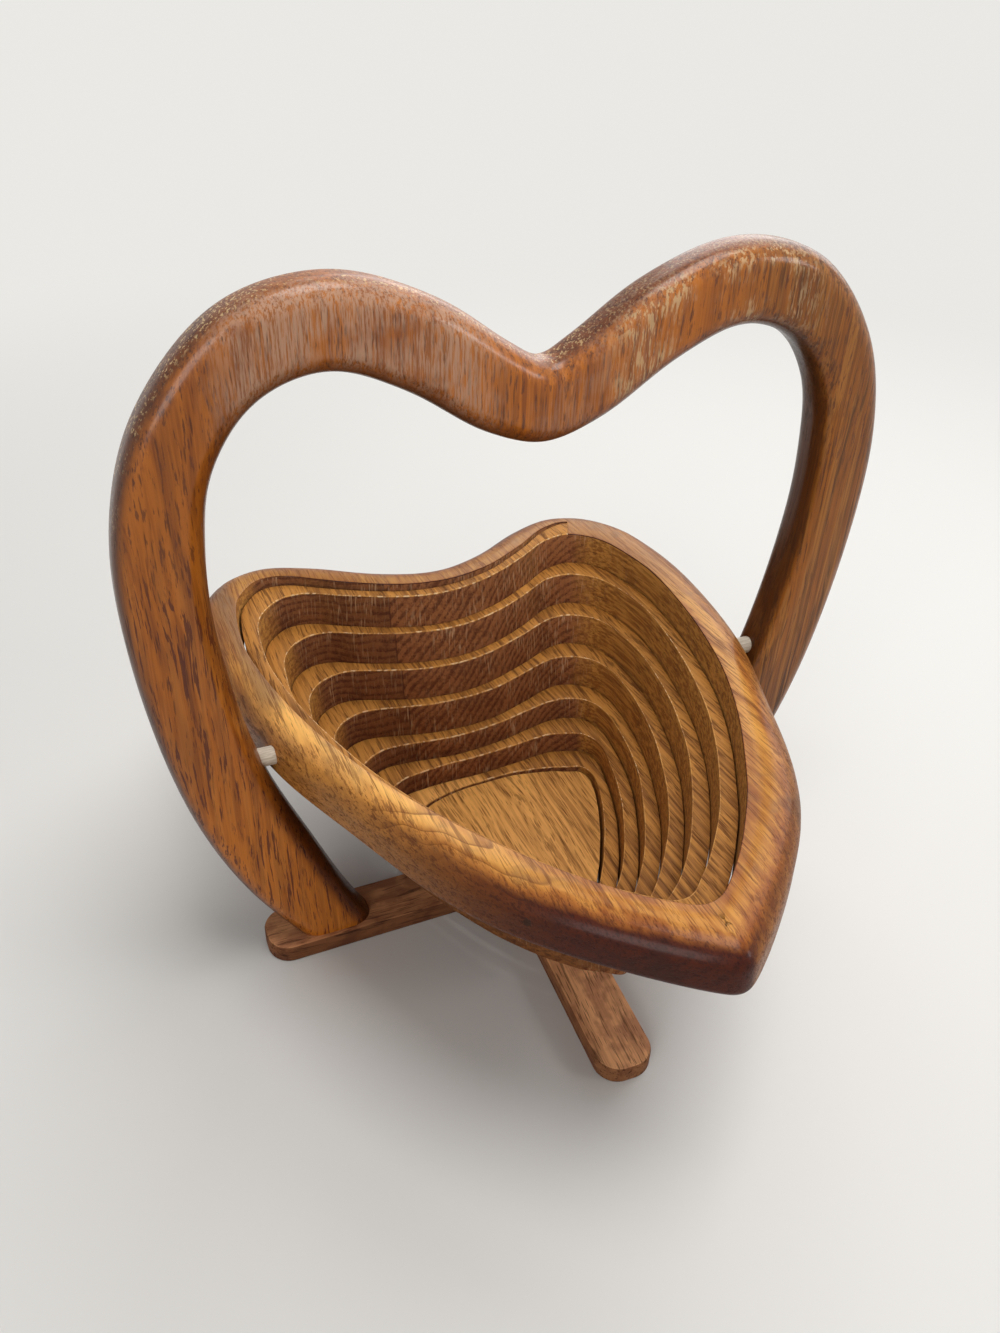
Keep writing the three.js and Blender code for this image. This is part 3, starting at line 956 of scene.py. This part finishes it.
def slat_object(name, turned):
    """One of the two slats, half-lapped at the crossing.

    The cross slat is turned, and goes over the long one.
    """
    obj = slat_blank(name)
    if turned:
        place, middle, board_place = CROSS, (CROSS_SHIFT, 0, 0), CROSS_SLAT_PLACE
        notch = slat_notch(-NOTCH_SPARE, (SLAT_THICKNESS + LAP_GAP) / 2)
    else:
        place, middle, board_place = Matrix.Identity(4), (0, 0, 0), LONG_SLAT_PLACE
        notch = slat_notch((SLAT_THICKNESS - LAP_GAP) / 2, NOTCH_SPARE)
        notch.data.transform(CROSS)
    obj.data.transform(place)
    cut_away(obj, notch)
    obj.data.materials.clear()
    obj.data.materials.append(slat_oak)
    back = np.array(place.inverted().to_3x3())

    def board(points):
        flat = (points - middle) @ back.T
        return np.stack([flat[:, 1] + board_place[0], flat[:, 0] + board_place[1], flat[:, 2]], 1)

    finish_mesh(obj, board)
    return obj


handle = handle_object()
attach(handle, "handle")
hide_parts("handle")

rim = rim_object()
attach(rim, "rim")
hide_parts("rim")

# Each stretch of the strip runs from the middle of one link to the middle of the next
link_names = [f"spiral_{k + 1:02d}" for k in range(LINKS)]
link_ends = [CUT_START] + [k * STEPS // 2 for k in range(1, LINKS + 1)]
middles = [(a + b) // 2 for a, b in zip(link_ends[:-1], link_ends[1:])]
stops = [CUT_START] + middles + [(TURNS - 1) * STEPS]
for k, (start, end) in enumerate(zip(stops[:-1], stops[1:])):
    piece = strip_object(f"strip_{k + 1:02d}", start, end)
    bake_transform(piece)
    if k < LINKS:
        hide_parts(link_names[k])

base = base_object()
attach(base, "base")
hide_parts("base")

for name, side_of in (("pin_left", -1), ("pin_right", 1)):
    inner_end, outer_end = side_of * (RIM_REACH - PIN_DEPTH), side_of * (HANDLE_REACH - PIN_RECESS)
    pin = rod_object(name + "_wood", PIN_RADIUS, inner_end, outer_end, PIN_BEVEL)
    pin.data.materials.append(pin_birch)
    finish_mesh(pin, lambda points: points)
    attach(pin, "handle")
    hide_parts(name)

for name, turned in (("long_slat", False), ("cross_slat", True)):
    slat = slat_object(name + "_wood", turned)
    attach(slat, "stand")
    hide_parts(name)


# ---------------------------------------------------------------- studio

# Colours of the backdrop, of the floor as it is seen, and of the light that the floor throws back
PAPER = (0.82, 0.81, 0.78)
FLOOR_SEEN = (0.74, 0.725, 0.695)
FLOOR_BOUNCE = (0.3, 0.22, 0.14)

# Millimetres, like every mesh here. The lengths below it are in metres.
FLOOR_REACH = 4000.0

# How far out the floor begins to fade into the backdrop, and where it is gone
FADE_START, FADE_END = 0.25, 1.0

SKY_STRENGTH = 0.22

# Name, place, target, size and power of each lamp
LAMPS = (
    ("key", (0.85, 0.7, 1.0), (0, 0, 0.1), (1.6, 1.6), 16),
    ("front", (-1.0, -1.0, 0.75), (0, 0, 0.12), (0.55, 0.8), 6),
    ("side", (0.95, -0.8, 0.62), (0, -0.1, 0.1), (0.3, 0.3), 2),
    ("top", (0.15, -0.25, 1.5), (0, 0, 0.1), (0.7, 0.7), 10),
)

# The photograph's viewing angle, with its height as the longer side
YAW, PITCH, ROLL = math.radians(-24.55), math.radians(35.72), math.radians(-2.45)
FOCAL_PIXELS, HEIGHT_PIXELS = 1080.3, 1333
SENSOR = 36
CAMERA_PLACE = (-0.1528, -0.3109, 0.3663)


def seen_directly(nodes, links):
    """1 for what the camera sees itself, in a gloss or through glass.

    It is 0 for light that a surface scatters.
    """
    path = nodes.new("ShaderNodeLightPath")
    total = path.outputs["Is Camera Ray"]
    for name in ("Is Glossy Ray", "Is Transmission Ray"):
        either = nodes.new("ShaderNodeMath")
        either.operation = "MAXIMUM"
        links.new(total, either.inputs[0])
        links.new(path.outputs[name], either.inputs[1])
        total = either.outputs[0]
    return total


def floor_paper():
    """Pale floor that carries the shadow and fades into the backdrop."""
    m = Wood("floor_paper")
    seen = seen_directly(m.tree.nodes, m.tree.links)
    m.tree.links.new(m.mix(seen, FLOOR_BOUNCE, FLOOR_SEEN), m.shader.inputs["Base Color"])
    m.shader.inputs["Roughness"].default_value = 0.7
    far = m.distance(m.tree.nodes.new("ShaderNodeTexCoord").outputs["Object"], (0, 0, 0))
    glow = m.tree.nodes.new("ShaderNodeEmission")
    glow.inputs["Color"].default_value = (*PAPER, 1)
    blend = m.tree.nodes.new("ShaderNodeMixShader")
    m.tree.links.new(m.product(m.ease(far, FADE_START, FADE_END), seen), blend.inputs[0])
    m.tree.links.new(m.shader.outputs[0], blend.inputs[1])
    m.tree.links.new(glow.outputs[0], blend.inputs[2])
    m.tree.links.new(blend.outputs[0], m.tree.nodes["Material Output"].inputs["Surface"])
    return m.material


def add_lamp(name, place, target, size, watts):
    light = bpy.data.lights.new(name, "AREA")
    light.shape = "RECTANGLE"
    light.size, light.size_y = size
    light.energy = watts
    obj = bpy.data.objects.new(name, light)
    bpy.context.scene.collection.objects.link(obj)
    obj.location = place
    obj.rotation_euler = (Vector(target) - Vector(place)).to_track_quat("-Z", "Y").to_euler()


def add_world():
    """Even light from all round, with the backdrop's colour where the camera sees it."""
    world = bpy.data.worlds.new("studio")
    bpy.context.scene.world = world
    world.use_nodes = True
    links, nodes = world.node_tree.links, world.node_tree.nodes
    glow = nodes["Background"]
    glow.inputs["Color"].default_value = (1, 1, 1, 1)
    glow.inputs["Strength"].default_value = SKY_STRENGTH
    paper = nodes.new("ShaderNodeBackground")
    paper.inputs["Color"].default_value = (*PAPER, 1)
    switch = nodes.new("ShaderNodeMixShader")
    links.new(seen_directly(nodes, links), switch.inputs[0])
    links.new(glow.outputs[0], switch.inputs[1])
    links.new(paper.outputs[0], switch.inputs[2])
    links.new(switch.outputs[0], nodes["World Output"].inputs["Surface"])


def add_camera():
    look = np.array([-math.sin(YAW) * math.cos(PITCH), math.cos(YAW) * math.cos(PITCH), -math.sin(PITCH)])
    level_right = np.array([math.cos(YAW), math.sin(YAW), 0.0])
    level_down = np.cross(look, level_right)
    right = math.cos(ROLL) * level_right + math.sin(ROLL) * level_down
    down = -math.sin(ROLL) * level_right + math.cos(ROLL) * level_down
    data = bpy.data.cameras.new("camera")
    data.sensor_fit = "VERTICAL"
    data.sensor_height = SENSOR
    data.lens = SENSOR * FOCAL_PIXELS / HEIGHT_PIXELS
    camera = bpy.data.objects.new("camera", data)
    bpy.context.scene.collection.objects.link(camera)
    axes = np.stack([right, -down, -look], 1)
    camera.matrix_world = Matrix.Translation(CAMERA_PLACE) @ Matrix(axes.tolist()).to_4x4()
    bpy.context.scene.camera = camera


floor_corners = [(x * FLOOR_REACH, y * FLOOR_REACH, 0) for x, y in ((-1, -1), (1, -1), (1, 1), (-1, 1))]
floor = make_object("floor", floor_corners, [(0, 1, 2, 3)])
floor.data.materials.append(floor_paper())

for lamp in LAMPS:
    add_lamp(*lamp)
add_world()
add_camera()
bpy.context.scene.view_settings.view_transform = "Standard"
